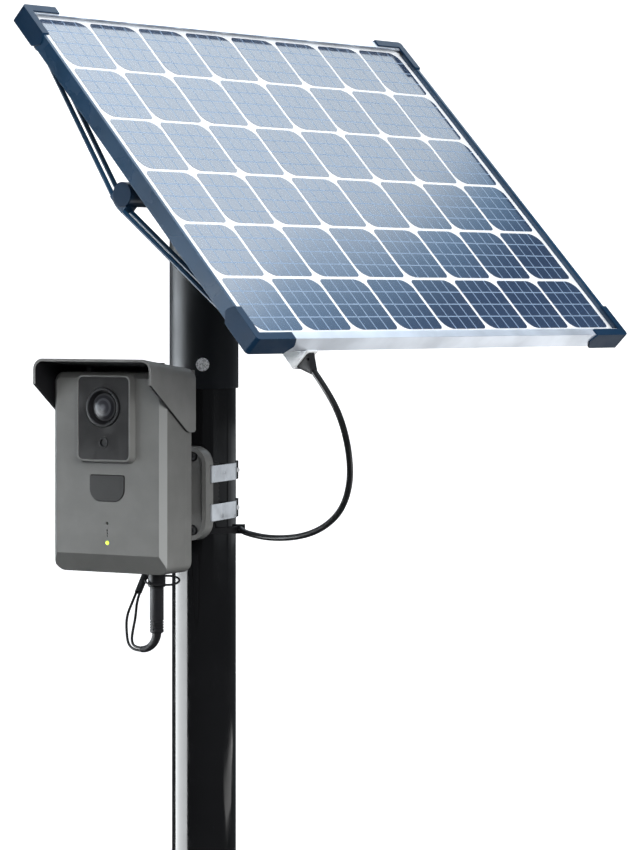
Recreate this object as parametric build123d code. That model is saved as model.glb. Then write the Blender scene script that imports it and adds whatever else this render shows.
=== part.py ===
from build123d import *
import math
import os

# Solar-powered security camera: a pole carries a tilting solar panel on a cast head and, lower
# down, a camera on a pan and tilt knuckle that two band clamps hold. Millimetres, +Z up the pole.
# The origin is the centre of the pole's lower end and the camera looks along -Y.

# ---- driving dimensions -------------------------------------------------------------------
POLE_OD = 48.3
POLE_WALL = 2.9
POLE_LENGTH = 450.0
SOCKET_DEPTH = 80.0
SOCKET_WALL = 1.9

SLEEVE_GAP = 0.2
SLEEVE_WALL = 1.7
SLEEVE_BOTTOM = 358.0
SLEEVE_TOP = 515.0
HEAD_SEAT_LIP = 4.0
PANEL_HEADING = 78.7
ARM_REACH = 113.0
ARM_Z = 495.7
ARM_WIDTH = 20.0
ARM_HEIGHT = 26.0
ARM_WEB = 7.0
HUB_R = 14.0
HUB_LENGTH = 44.0
HEAD_BOLT_Z = 376.0
HEAD_BOLT_HEADING = 30.0
HEAD_BOLT_R = 2.5
PINCH_R = 3.0
PINCH_DROP = 20.5

TUBE_OD = 17.0
TUBE_WALL = 2.0
TUBE_SHORT = 13.0
TUBE_CAP_T = 1.5
RUNNING_GAP = 0.06

PANEL_TILT = 46.2
PANEL_W = 410.0
PANEL_H = 320.0
PANEL_FRONT = 26.0
RAIL_DEPTH = 12.0
RAIL_WALL = 2.0
RAIL_FLANGE = 10.0
SIDE_LIP = 2.5
END_LIP = 6.5
LIP_T = 1.2
SHELF_T = 1.6
GLASS_T = 2.9
CELL_T = 0.3
BACKSHEET_T = 0.4
LAMINATE_GAP = 0.4
CELL_COLUMNS = 8
CELL_ROWS = 6
CELL_MARGIN_LEFT = 12.3
CELL_MARGIN_RIGHT = 7.1
CELL_MARGIN_TOP = 7.0
CELL_MARGIN_BOTTOM = 11.5
CELL_GAP_X = 3.0
CELL_GAP_Y = 2.7
CELL_ROUND = 10.0
CELL_NIB = 3.5

GUARD_T = 1.2
GUARD_TOP_W = 34.0
GUARD_BOTTOM_W = 40.0
GUARD_ALONG_H = 32.0
GUARD_CORNER = 3.0
GUARD_BEVEL = 3.5
GUARD_FRONT_LIP = 5.0
GUARD_BACK_LIP = 3.0

STAY_ROD_D = 3.4
STAY_ROD_PITCH = 7.2
STAY_INSET = 8.2
STAY_FOOT_INSET = 32.0
STAY_BACK = 10.3
STAY_KNEE_Y = -1.0
STAY_BEND_R = 15.0
STAY_ROD_SINK = 0.2
STAY_SADDLE_HALF = 8.0
STAY_FOOT_T = 1.8
STAY_SCREW_INSET_X = 7.5
STAY_SCREW_INSET_Y = 26.0
SCREW_R = 2.0
SCREW_PLAY = 0.1
STAY_SCREW_HEAD_R = 3.6
STAY_SCREW_LENGTH = 3.2
SCREW_HEAD_T = 2.2

JBOX_X = -141.0
JBOX_W = 11.0
JBOX_DEPTH = 17.5
JBOX_HEIGHT = 70.0
JBOX_WALL = 1.6
BOOT_LENGTH = 10.5

PLATE_Z = 281.0
PLATE_W = 59.0
PLATE_H = 69.5
PLATE_DEPTH = 10.0
PLATE_CORNER = 14.0
PLATE_BACK_GAP = 9.85
PLATE_RIM = 3.5
PLATE_RECESS = 4.0
SADDLE_W = 51.0
SADDLE_DEPTH = 15.0
SADDLE_H = 66.0
SADDLE_BASE_T = 6.5
CRADLE_H = 44.0
TOOTH_PITCH = 3.2
PLATE_SCREW_X = 15.0
PLATE_SCREW_Z = 27.6
PLATE_SCREW_HEAD_R = 4.0
PLATE_SCREW_LENGTH = 10.0

BAND_W = 12.5
BAND_T = 0.7
BAND_SPREAD = 28.6
BAND_HEADING = 165.0
HOUSING_HALF = 6.0
HOUSING_DEEP = 5.2
HOUSING_RISE = 7.0
WORM_R = 1.7
WORM_SINK = 2.4
WORM_HALF = 8.5

PAN_Y = -56.0
TILT_Y = -80.0
PIN_R = 3.0
EAR_T = 4.0
FORK_GAP = 25.2
KNUCKLE_GAP = 0.3
PAN_BARREL_R = 8.7
TILT_BARREL_R = 7.5
TILT_BARREL_W = 13.6

CASE_W = 97.0
CASE_H = 144.0
CASE_D = 37.0
CASE_BACK = -93.0
CASE_BOTTOM = 228.0
CASE_WALL = 2.4
CASE_CORNER = 8.0
CASE_CHAMFER = 4.3
CHIN_TALL = 13.4
CHIN_DEEP = 6.5
REAR_SHELL_D = 8.0
CASE_SCREW_INSET_X = 8.0
CASE_SCREW_INSET_Z = 9.0
CASE_BOSS_R = 3.4

BEZEL_W = 45.6
BEZEL_H = 64.5
BEZEL_BOTTOM = 307.0
BEZEL_PROUD = 5.0
BEZEL_DRAFT = 1.5
BEZEL_LIP = 1.2
PANE_CORNER = 3.5
LENS_Z = 347.2
LENS_RING_R = 14.3
LENS_R = 10.0
RING_PROUD = 1.4
LIGHT_SENSOR_Z = 322.0
LIGHT_SENSOR_R = 3.9
PIR_W = 29.7
PIR_H = 19.0
PIR_TOP = 298.5
PIR_ROUND = 9.0
MIC_Z = 263.8
LED_Z = 249.8
LED_R = 1.5
MIC_R = 1.1
MIC_DOT_R = 0.65
MIC_DOT_DROPS = (5.0, 7.0, 9.0)
BATTERY_R = 9.2
BATTERY_PITCH = 21.0
BATTERY_LENGTH = 65.0
BATTERY_LIFT = 18.0

HOOD_WALL = 2.0
HOOD_GAP = 0.3
HOOD_FRONT = -150.0
HOOD_BACK = -91.5
HOOD_TOP_FRONT = 382.0
HOOD_TOP_BACK = 374.6
HOOD_CHEEK_FRONT = 363.6
HOOD_CHEEK_BACK = 329.0
HOOD_CORNER = 8.0
HOOD_SKIRT_Z = 360.0
HOOD_SCREW_X = 30.0
HOOD_SCREW_Y = -106.0
HOOD_SCREW_R = 1.5

PORT_X = 30.0
PORT_Y = -111.0
COLLAR_R = 6.3
COLLAR_LENGTH = 9.8
PORT_NECK_R = 5.6
PLUG_R = 5.0
PLUG_LENGTH = 33.0
TAIL_BEND_R = 13.0
TETHER_WIRE_R = 0.8
TETHER_REACH = 8.0
TETHER_HEADING = 30.0
TETHER_TILT = 18.0
TETHER_DROP = 5.2

CLIP_HEADING = 120.0
CLIP_Z = 251.5
CLIP_HALF = 3.4
CLIP_GAP = 3.85
CABLE_D = 4.4
LEAD_D = 1.9
FIT = 0.05

# ---- derived places -----------------------------------------------------------------------
pole_r = POLE_OD / 2
sleeve_bore_r = pole_r + SLEEVE_GAP
sleeve_r = sleeve_bore_r + SLEEVE_WALL
tube_r = TUBE_OD / 2
case_front = CASE_BACK - CASE_D
case_top = CASE_BOTTOM + CASE_H
case_mid_z = CASE_BOTTOM + CASE_H / 2
seam_y = CASE_BACK - REAR_SHELL_D
inner_front = case_front + CASE_WALL
bezel_front = case_front - BEZEL_PROUD
bezel_mid_z = BEZEL_BOTTOM + BEZEL_H / 2
plate_back = -pole_r - PLATE_BACK_GAP
plate_front = plate_back - PLATE_DEPTH
plate_floor = plate_front + PLATE_RECESS
band_y = plate_back - 3.0
frame_back = PANEL_FRONT - RAIL_DEPTH
tube_length = PANEL_W - TUBE_SHORT
stay_x = PANEL_W / 2 - STAY_INSET
stay_foot_y = PANEL_H / 2 - STAY_FOOT_INSET
stay_screw_x = PANEL_W / 2 - STAY_SCREW_INSET_X
stay_screw_y = PANEL_H / 2 - STAY_SCREW_INSET_Y
cell_pitch_x = (PANEL_W - CELL_MARGIN_LEFT - CELL_MARGIN_RIGHT + CELL_GAP_X) / CELL_COLUMNS
cell_pitch_y = (PANEL_H - CELL_MARGIN_TOP - CELL_MARGIN_BOTTOM + CELL_GAP_Y) / CELL_ROWS
laminate_front = PANEL_FRONT - LIP_T
cells_front = laminate_front - GLASS_T
sheet_front = cells_front - CELL_T
sheet_back = sheet_front - BACKSHEET_T
jbox_end = -PANEL_H / 2 - 0.5
jbox_back = frame_back - JBOX_DEPTH
jbox_mid_z = frame_back - JBOX_DEPTH / 2
head_turn = Rot(0, 0, PANEL_HEADING)
panel_place = head_turn * Pos(0, -ARM_REACH, ARM_Z) * Rot(PANEL_TILT, 0, 0)
clip_r = pole_r + CLIP_GAP
plug_top = CASE_BOTTOM - COLLAR_LENGTH
plug_bottom = plug_top - PLUG_LENGTH

nodes = {}


def span(x0, x1, y0, y1, z0, z1):
    """Box between two corners."""
    middle = Pos((x0 + x1) / 2, (y0 + y1) / 2, (z0 + z1) / 2)
    return middle * Box(abs(x1 - x0), abs(y1 - y0), abs(z1 - z0))


def rod(start, end, radius):
    """Round bar from one point to another."""
    a = Vector(*start)
    b = Vector(*end)
    plane = Plane(origin=a, z_dir=b - a)
    return plane.location * Cylinder(radius, (b - a).length, align=(Align.CENTER, Align.CENTER, Align.MIN))


def along_y(x, z, y0, y1, radius):
    """Round bar along Y."""
    return rod((x, min(y0, y1), z), (x, max(y0, y1), z), radius)


def along_x(y, z, x0, x1, radius):
    """Round bar along X."""
    return rod((min(x0, x1), y, z), (max(x0, x1), y, z), radius)


def upright(x, y, z0, z1, radius):
    """Round bar along Z."""
    return rod((x, y, min(z0, z1)), (x, y, max(z0, z1)), radius)


def profile_yz(points, x0, x1):
    """Prism along X from an outline of (y, z) points."""
    outline = Plane.YZ * Polyline(*points, close=True)
    face = make_face(outline)
    return Pos(x0, 0, 0) * extrude(face, x1 - x0, dir=(1, 0, 0))


def plate_xz(sketch, y0, y1):
    """Prism along Y, from y0 back to y1, of a sketch drawn with X across and its own Y up."""
    face = Pos(0, y1, 0) * Rot(90, 0, 0) * sketch
    return extrude(face, y1 - y0, dir=(0, -1, 0))


def hexagon_head(across_flats, height):
    """Hexagon prism standing on XY."""
    return extrude(RegularPolygon(across_flats / math.sqrt(3), 6), height)


def one(shape):
    """The only solid of a result."""
    solids = shape.solids()
    if len(solids) != 1:
        raise ValueError(f"{len(solids)} solids where one was meant")
    return solids[0]


def add(name, *shapes):
    """Store a node, with every solid of the shapes."""
    nodes[name] = [solid for shape in shapes for solid in shape.solids()]


def add_one(name, shape):
    """Store a node that is one solid."""
    nodes[name] = [one(shape)]


# ---- pole and head ------------------------------------------------------------------------
def build_pole():
    tube = upright(0, 0, 0, POLE_LENGTH, pole_r) - upright(0, 0, -1, POLE_LENGTH + 1, pole_r - POLE_WALL)
    tube -= upright(0, 0, -1, SOCKET_DEPTH, pole_r - SOCKET_WALL)
    tube -= Rot(0, 0, HEAD_BOLT_HEADING) * along_y(0, HEAD_BOLT_Z, -POLE_OD, POLE_OD, HEAD_BOLT_R + 0.2)
    add_one("pole", tube)


def build_head():
    sleeve = upright(0, 0, SLEEVE_BOTTOM, SLEEVE_TOP, sleeve_r)
    arm = span(-ARM_WIDTH / 2, ARM_WIDTH / 2, -ARM_REACH, 0, ARM_Z - ARM_HEIGHT / 2, ARM_Z + ARM_HEIGHT / 2)
    pocket_front = -ARM_REACH + HUB_R + 4
    for side in (-1, 1):
        arm -= span(side * ARM_WEB / 2, side * ARM_WIDTH, pocket_front, -sleeve_r - 3, ARM_Z - 8, ARM_Z + 8)
    hub = along_x(-ARM_REACH, ARM_Z, -HUB_LENGTH / 2, HUB_LENGTH / 2, HUB_R)
    ears = span(-9, 9, -ARM_REACH - 9, -ARM_REACH + 9, ARM_Z - 28, ARM_Z)
    head = head_turn * (arm + hub + ears) + sleeve
    seat = upright(0, 0, SLEEVE_BOTTOM - 1, POLE_LENGTH, sleeve_bore_r)
    bore = upright(0, 0, POLE_LENGTH - 1, SLEEVE_TOP + 1, sleeve_bore_r - HEAD_SEAT_LIP)
    tube_bore = along_x(-ARM_REACH, ARM_Z, -HUB_LENGTH, HUB_LENGTH, tube_r + RUNNING_GAP)
    slit = span(-HUB_LENGTH, HUB_LENGTH, -ARM_REACH - 1, -ARM_REACH + 1, ARM_Z - 30, ARM_Z)
    bolt_hole = along_y(0, ARM_Z - PINCH_DROP, -ARM_REACH - 12, -ARM_REACH + 12, PINCH_R + FIT)
    head = head - seat - bore - head_turn * (tube_bore + slit + bolt_hole)
    head -= Rot(0, 0, HEAD_BOLT_HEADING) * along_y(0, HEAD_BOLT_Z, -POLE_OD, POLE_OD, HEAD_BOLT_R + 0.2)
    add_one("pole_head", head)

    lid = upright(0, 0, SLEEVE_TOP, SLEEVE_TOP + 4, sleeve_r)
    lid = fillet(lid.edges().group_by(Axis.Z)[-1], 2.5)
    plug = upright(0, 0, SLEEVE_TOP - 8, SLEEVE_TOP, sleeve_bore_r - HEAD_SEAT_LIP - 0.1)
    add_one("head_cap", lid + plug)

    turn = Rot(0, 0, HEAD_BOLT_HEADING)
    washer_y = -sleeve_r - 1.0
    washer = along_y(0, HEAD_BOLT_Z, washer_y, -sleeve_r, 5.0)
    washer -= along_y(0, HEAD_BOLT_Z, washer_y - 1, -sleeve_r + 1, HEAD_BOLT_R + 0.1)
    add_one("head_bolt_washer", turn * washer)
    head_hex = Pos(0, washer_y, HEAD_BOLT_Z) * Rot(90, 0, 0) * hexagon_head(8.0, 3.5)
    shank = along_y(0, HEAD_BOLT_Z, washer_y, sleeve_r + 6, HEAD_BOLT_R)
    add_one("head_bolt", turn * (head_hex + shank))
    nut = Pos(0, sleeve_r, HEAD_BOLT_Z) * Rot(-90, 0, 0) * hexagon_head(8.0, 4.0)
    nut -= along_y(0, HEAD_BOLT_Z, sleeve_r - 1, sleeve_r + 8, HEAD_BOLT_R)
    add_one("head_bolt_nut", turn * nut)

    front_y = -ARM_REACH - 9
    pinch_z = ARM_Z - PINCH_DROP
    pinch = Pos(0, front_y, pinch_z) * Rot(90, 0, 0) * hexagon_head(10.0, 4.0)
    pinch += along_y(0, pinch_z, front_y, front_y + 18, PINCH_R)
    add_one("hub_pinch_bolt", head_turn * pinch)


# ---- solar panel, drawn with X along its width, Y up its slope and Z out of its face ---------
def panel_node(name, *shapes):
    add(name, *[panel_place * shape for shape in shapes])


def rail_section(lip):
    """Channel outline: first coordinate inwards from the outer face, second towards the sun."""
    wall = Pos(RAIL_WALL / 2, frame_back + RAIL_DEPTH / 2) * Rectangle(RAIL_WALL, RAIL_DEPTH)
    front = Pos(lip / 2, PANEL_FRONT - LIP_T / 2) * Rectangle(lip, LIP_T)
    shelf = Pos(RAIL_FLANGE / 2, sheet_back - SHELF_T / 2) * Rectangle(RAIL_FLANGE, SHELF_T)
    flange = Pos(RAIL_FLANGE / 2, frame_back + SHELF_T / 2) * Rectangle(RAIL_FLANGE, SHELF_T)
    return wall + front + shelf + flange


def rail(length, lip):
    """Rail along X with its outer face on Y = 0 and its body towards +Y."""
    face = Rot(0, 0, 90) * Rot(90, 0, 0) * rail_section(lip)
    return Pos(-length / 2, 0, 0) * extrude(face, length, dir=(1, 0, 0))


def build_rails():
    side_length = PANEL_H - 2 * RAIL_FLANGE - 0.4
    panel_node("bottom_rail", Pos(0, -PANEL_H / 2, 0) * rail(PANEL_W, END_LIP))
    panel_node("top_rail", Pos(0, PANEL_H / 2, 0) * Rot(0, 0, 180) * rail(PANEL_W, END_LIP))
    left = Pos(-PANEL_W / 2, 0, 0) * Rot(0, 0, -90) * rail(side_length, SIDE_LIP)
    right = Pos(PANEL_W / 2, 0, 0) * Rot(0, 0, 90) * rail(side_length, SIDE_LIP)
    for end in (-1, 1):
        left -= upright(-stay_screw_x, end * stay_screw_y, frame_back - 1, frame_back + 3, SCREW_R)
        right -= upright(stay_screw_x, end * stay_screw_y, frame_back - 1, frame_back + 3, SCREW_R)
    panel_node("left_rail", left)
    panel_node("right_rail", right)


def corner_guard(along_w):
    """Guard over the upper right corner, that reaches along_w down the frame's width."""
    out_x = PANEL_W / 2 + GUARD_T
    out_y = PANEL_H / 2 + GUARD_T
    low = frame_back - GUARD_T
    high = PANEL_FRONT + GUARD_T
    bend = (low + high) / 2
    tip_x = PANEL_W / 2 - along_w
    tip_y = PANEL_H / 2 - GUARD_ALONG_H

    def bevelled(tip, out):
        return [(out, low), (out, high), (tip + GUARD_BEVEL, high), (tip, bend + 1), (tip, bend - 1),
                (tip + GUARD_BEVEL + 2, low)]

    leg_w = extrude(Plane.XZ * make_face(Polyline(*bevelled(tip_x, out_x), close=True)), -PANEL_H)
    leg_w &= span(0, PANEL_W, PANEL_H / 2 - RAIL_FLANGE, out_y, low - 1, high + 1)
    leg_h = profile_yz(bevelled(tip_y, out_y), PANEL_W / 2 - RAIL_FLANGE, out_x)
    guard = leg_w + leg_h
    guard -= span(0, PANEL_W / 2, 0, PANEL_H / 2, frame_back, PANEL_FRONT)
    front_x = PANEL_W / 2 - GUARD_FRONT_LIP
    front_y = PANEL_H / 2 - GUARD_FRONT_LIP
    guard -= span(0, front_x, 0, front_y, frame_back + 3, high + 1)
    back_x = PANEL_W / 2 - GUARD_BACK_LIP
    back_y = PANEL_H / 2 - GUARD_BACK_LIP
    guard -= span(0, back_x, 0, back_y, low - 1, frame_back + 3)
    corner = guard.edges().filter_by(Axis.Z).sort_by(lambda e: e.center().X + e.center().Y)[-1]
    return one(fillet(corner, GUARD_CORNER))


def build_guards():
    """Moulded guards that clip over the four corners of the frame."""
    upper = corner_guard(GUARD_TOP_W)
    lower = mirror(corner_guard(GUARD_BOTTOM_W), about=Plane.XZ)
    panel_node("corner_guards", upper, mirror(upper, about=Plane.YZ), lower, mirror(lower, about=Plane.YZ))


def build_laminate():
    wide = PANEL_W - 2 * (RAIL_WALL + LAMINATE_GAP)
    tall = PANEL_H - 2 * (RAIL_WALL + LAMINATE_GAP)
    panel_node("panel_glass", span(-wide / 2, wide / 2, -tall / 2, tall / 2, cells_front, laminate_front))
    panel_node("backsheet", span(-wide / 2, wide / 2, -tall / 2, tall / 2, sheet_back, sheet_front))
    cell_w = cell_pitch_x - CELL_GAP_X
    cell_h = cell_pitch_y - CELL_GAP_Y
    outline = Rectangle(cell_w, cell_h)
    by_rise = outline.vertices().sort_by(lambda v: v.X + v.Y)
    outline = fillet([by_rise[0], by_rise[-1]], CELL_ROUND)
    by_fall = outline.vertices().sort_by(lambda v: v.X - v.Y)
    outline = fillet([by_fall[0], by_fall[-1]], CELL_NIB)
    cell = Pos(0, 0, sheet_front) * extrude(outline, CELL_T)
    first_x = -PANEL_W / 2 + CELL_MARGIN_LEFT + cell_w / 2
    first_y = -PANEL_H / 2 + CELL_MARGIN_BOTTOM + cell_h / 2
    cells = []
    for column in range(CELL_COLUMNS):
        for row in range(CELL_ROWS):
            cells.append(Pos(first_x + column * cell_pitch_x, first_y + row * cell_pitch_y, 0) * cell)
    panel_node("solar_cells", *cells)


def build_cross_tube():
    half = tube_length / 2
    tube = along_x(0, 0, -half, half, tube_r) - along_x(0, 0, -half - 1, half + 1, tube_r - TUBE_WALL)
    panel_node("cross_tube", tube)
    caps = []
    for side in (-1, 1):
        disc = along_x(0, 0, side * half, side * (half + TUBE_CAP_T), tube_r)
        plug = along_x(0, 0, side * (half - 8), side * half, tube_r - TUBE_WALL - 0.1)
        caps.append(disc + plug)
    panel_node("tube_end_caps", *caps)


def build_stay(side):
    """Bent twin-rod stay from the upper corner round the back of the tube to the lower corner."""
    shapes = []
    rod_r = STAY_ROD_D / 2
    foot_z = frame_back - rod_r - STAY_ROD_SINK
    inner_x = stay_x - STAY_ROD_PITCH
    for x in (stay_x, inner_x):
        ends = [(side * x, end * stay_foot_y, foot_z) for end in (1, -1)]
        path = FilletPolyline(ends[0], (side * x, STAY_KNEE_Y, -STAY_BACK), ends[1], radius=STAY_BEND_R)
        section = Plane(origin=path @ 0, z_dir=path % 0) * Circle(rod_r)
        shapes.append(sweep(section, path=path))
    edge_x = stay_x + rod_r
    block = span(side * (inner_x - rod_r), side * edge_x, -STAY_SADDLE_HALF, STAY_SADDLE_HALF, -STAY_BACK, -4)
    for end in (-1, 1):
        foot_x0 = inner_x - rod_r - 1
        foot_y = end * stay_foot_y
        foot_x1 = PANEL_W / 2 - GUARD_BACK_LIP - 0.4
        shapes.append(span(side * foot_x0, side * foot_x1, foot_y - 4 * end, foot_y + 11 * end,
                           frame_back - STAY_FOOT_T, frame_back))
    stay = block
    for shape in shapes:
        stay += shape
    stay -= along_x(0, 0, side * 180, side * 204, tube_r)
    middle_x = side * (inner_x + stay_x) / 2
    stay -= upright(middle_x, 0, -20, 0, SCREW_R + 0.1)
    for end in (-1, 1):
        hole_r = SCREW_R + SCREW_PLAY
        stay -= upright(side * stay_screw_x, end * stay_screw_y, frame_back - 5, frame_back + 5, hole_r)
    return one(stay)


def button_screw(head_r, head_h, length):
    """Screw that stands on its head, with its shank up along +Z."""
    head = Pos(0, 0, -head_h / 2) * Cylinder(head_r, head_h)
    head = fillet(head.edges().group_by(Axis.Z)[0], head_h * 0.45)
    socket = Pos(0, 0, -head_h) * hexagon_head(head_r * 0.9, head_h * 0.6)
    return head - socket + upright(0, 0, 0, length, SCREW_R)


def build_stays():
    panel_node("left_stay", build_stay(-1))
    panel_node("right_stay", build_stay(1))
    screws = []
    for side in (-1, 1):
        for end in (-1, 1):
            place = Pos(side * stay_screw_x, end * stay_screw_y, frame_back - STAY_FOOT_T)
            screws.append(place * button_screw(STAY_SCREW_HEAD_R, SCREW_HEAD_T, STAY_SCREW_LENGTH))
    panel_node("stay_screws", *screws)


def build_junction_box():
    x0 = JBOX_X - JBOX_W / 2
    x1 = JBOX_X + JBOX_W / 2
    body = span(x0, x1, jbox_end, jbox_end + JBOX_HEIGHT, jbox_back, frame_back)
    riser_y = -PANEL_H / 2 + RAIL_FLANGE + 0.5
    body += span(x0, x1, riser_y, jbox_end + JBOX_HEIGHT, frame_back, sheet_back)
    inside = span(x0 + JBOX_WALL, x1 - JBOX_WALL, jbox_end + 4, jbox_end + JBOX_HEIGHT - JBOX_WALL,
                  jbox_back + JBOX_WALL, frame_back - 2)
    panel_node("junction_box", body - inside)
    wide = RectangleRounded(JBOX_W - 3, JBOX_DEPTH - 2.5, 2.5)
    start = Plane(origin=(JBOX_X, jbox_end, jbox_mid_z), x_dir=(1, 0, 0), z_dir=(0, -1, 0))
    end = start.offset(BOOT_LENGTH)
    boot = loft([start * wide, end * Circle(CABLE_D / 2 + 0.5)])
    boot -= along_x(jbox_end - 3.0, jbox_mid_z + 4.0, JBOX_X - 8, JBOX_X + 8, 1.0)
    panel_node("cable_boot", boot)


# ---- camera bracket -----------------------------------------------------------------------
def build_bracket():
    outline = RectangleRounded(PLATE_W, PLATE_H, PLATE_CORNER)
    place = Pos(0, 0, PLATE_Z)
    plate = place * plate_xz(outline, plate_front, plate_back)
    recess = RectangleRounded(PLATE_W - 2 * PLATE_RIM, PLATE_H - 2 * PLATE_RIM, PLATE_CORNER - PLATE_RIM)
    plate -= place * plate_xz(recess, plate_front - 1, plate_floor)
    for level in (-1, 1):
        z = PLATE_Z + level * BAND_SPREAD / 2
        half = BAND_W / 2 + 0.4
        plate -= span(-PLATE_W, PLATE_W, band_y - BAND_T - 0.5, band_y + 0.5, z - half, z + half)
    for x in (-PLATE_SCREW_X, PLATE_SCREW_X):
        for z in (PLATE_Z - PLATE_SCREW_Z, PLATE_Z + PLATE_SCREW_Z):
            plate -= along_y(x, z, plate_floor - 1, plate_floor + 1.5, 4.5)
            plate -= along_y(x, z, plate_floor, plate_back + 1, SCREW_R + 0.1)
    ear_low = FORK_GAP / 2
    for level in (-1, 1):
        z0 = PLATE_Z + level * ear_low
        z1 = z0 + level * EAR_T
        ear = span(-9, 9, PAN_Y, plate_floor, z0, z1) + upright(0, PAN_Y, z0, z1, 9)
        plate += ear
        plate -= upright(0, PAN_Y, z0 - 1, z1 + 1, PIN_R)
        plate -= upright(0, PAN_Y, PLATE_Z - 30, PLATE_Z + 30, PIN_R)
    add_one("bracket_plate", plate)

    saddle_front = plate_back + SADDLE_DEPTH
    half_w = SADDLE_W / 2
    base = RectangleRounded(SADDLE_W, SADDLE_H, PLATE_CORNER - PLATE_RIM)
    saddle = Pos(0, 0, PLATE_Z) * plate_xz(base, plate_back, plate_back + SADDLE_BASE_T)
    saddle += span(-half_w, half_w, plate_back, saddle_front, PLATE_Z - CRADLE_H / 2, PLATE_Z + CRADLE_H / 2)
    saddle -= upright(0, 0, PLATE_Z - SADDLE_H, PLATE_Z + SADDLE_H, pole_r + FIT)
    teeth = int((BAND_SPREAD - BAND_W) / TOOTH_PITCH)
    for index in range(teeth):
        z = PLATE_Z + (index - (teeth - 1) / 2) * TOOTH_PITCH
        notch = Pos(0, saddle_front, z) * Rot(45, 0, 0) * Box(SADDLE_W + 2, 1.8, 1.8)
        saddle -= notch
    for x in (-PLATE_SCREW_X, PLATE_SCREW_X):
        for z in (PLATE_Z - PLATE_SCREW_Z, PLATE_Z + PLATE_SCREW_Z):
            saddle -= along_y(x, z, plate_back - 1, plate_back + 9, SCREW_R)
    add_one("pole_saddle", saddle)

    screws = []
    for x in (-PLATE_SCREW_X, PLATE_SCREW_X):
        for z in (PLATE_Z - PLATE_SCREW_Z, PLATE_Z + PLATE_SCREW_Z):
            turn = Pos(x, plate_floor + 1.5, z) * Rot(-90, 0, 0)
            screws.append(turn * button_screw(PLATE_SCREW_HEAD_R, SCREW_HEAD_T, PLATE_SCREW_LENGTH))
    add("plate_screws", *screws)


def build_bands():
    """Two worm-drive bands round the pole and through the plate."""
    corner_half = PLATE_W / 2 + 0.5
    pole_edge = Circle(pole_r + FIT).edges()
    plate_edge = (Pos(0, band_y + 1) * Rectangle(2 * corner_half, 2)).edges()
    inside = make_hull([*pole_edge, *plate_edge])
    ring = extrude(offset(inside, BAND_T) - inside, BAND_W)
    bands = []
    housings = []
    screws = []
    turn = Rot(0, 0, BAND_HEADING)
    for level in (-1, 1):
        z = PLATE_Z + level * BAND_SPREAD / 2
        bands.append(Pos(0, 0, z - BAND_W / 2) * ring)
        base = -pole_r - FIT - BAND_T
        low = z - HOUSING_RISE
        high = z + HOUSING_RISE
        shell = span(-HOUSING_HALF, HOUSING_HALF, base - HOUSING_DEEP, base, low, high)
        shell -= upright(0, 0, z - 8, z + 8, pole_r + FIT + BAND_T + 0.02)
        shell -= along_x(base - WORM_SINK, z, -7, 7, WORM_R + SCREW_PLAY)
        housings.append(turn * shell)
        worm = along_x(base - WORM_SINK, z, -WORM_HALF, WORM_HALF, WORM_R)
        head = Pos(WORM_HALF, base - WORM_SINK, z) * Rot(0, 90, 0) * hexagon_head(5.0, 3.0)
        screws.append(turn * (worm + head))
    add("clamp_bands", *bands)
    add("clamp_housings", *housings)
    add("clamp_screws", *screws)


def build_knuckle():
    half = FORK_GAP / 2 - KNUCKLE_GAP
    block = upright(0, PAN_Y, PLATE_Z - half, PLATE_Z + half, PAN_BARREL_R)
    wide = TILT_BARREL_W / 2
    block += span(-wide, wide, TILT_Y, PAN_Y, PLATE_Z - TILT_BARREL_R, PLATE_Z + TILT_BARREL_R)
    block += along_x(TILT_Y, PLATE_Z, -wide, wide, TILT_BARREL_R)
    block -= upright(0, PAN_Y, PLATE_Z - 20, PLATE_Z + 20, PIN_R + FIT)
    block -= along_x(TILT_Y, PLATE_Z, -10, 10, PIN_R + FIT)
    add_one("pan_knuckle", block)
    reach = FORK_GAP / 2 + EAR_T
    pan_pin = upright(0, PAN_Y, PLATE_Z - reach - 2, PLATE_Z + reach, PIN_R)
    pan_pin += upright(0, PAN_Y, PLATE_Z + reach, PLATE_Z + reach + 2.5, PIN_R + 2)
    add_one("pan_pin", pan_pin)
    ear_out = TILT_BARREL_W / 2 + KNUCKLE_GAP + EAR_T
    tilt_pin = along_x(TILT_Y, PLATE_Z, -ear_out - 2, ear_out, PIN_R)
    tilt_pin += along_x(TILT_Y, PLATE_Z, ear_out, ear_out + 2.5, PIN_R + 2)
    add_one("tilt_pin", tilt_pin)


# ---- camera case --------------------------------------------------------------------------
def case_form(inset):
    """Solid outline of the case, moved in by inset on every side."""
    sketch = RectangleRounded(CASE_W - 2 * inset, CASE_H - 2 * inset, CASE_CORNER - inset)
    front = case_front + inset
    form = Pos(0, 0, case_mid_z) * plate_xz(sketch, front, CASE_BACK)
    rim = form.faces().sort_by(Axis.Y)[0].edges()
    form = chamfer(rim, CASE_CHAMFER)
    low = CASE_BOTTOM + inset
    slope = math.hypot(CHIN_TALL, CHIN_DEEP)
    shift = inset * (slope - CHIN_TALL - CHIN_DEEP) / CHIN_TALL
    wedge = [(front - 5, low - 5), (front - 5, low + CHIN_TALL + 15), (front, low + CHIN_TALL),
             (front + CHIN_DEEP, low), (front + CHIN_DEEP, low - 5)]
    wedge = [(y + shift, z) for y, z in wedge]
    wedge[1] = (front - 5, low + CHIN_TALL + 5 * CHIN_TALL / CHIN_DEEP + shift)
    return form - profile_yz(wedge, -CASE_W, CASE_W)


def corner_screw_places():
    """Places (x, z) of the case's four screws."""
    across = CASE_W / 2 - CASE_SCREW_INSET_X
    up = CASE_H / 2 - CASE_SCREW_INSET_Z
    return [(sx * across, case_mid_z + sz * up) for sx in (-1, 1) for sz in (-1, 1)]


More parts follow.
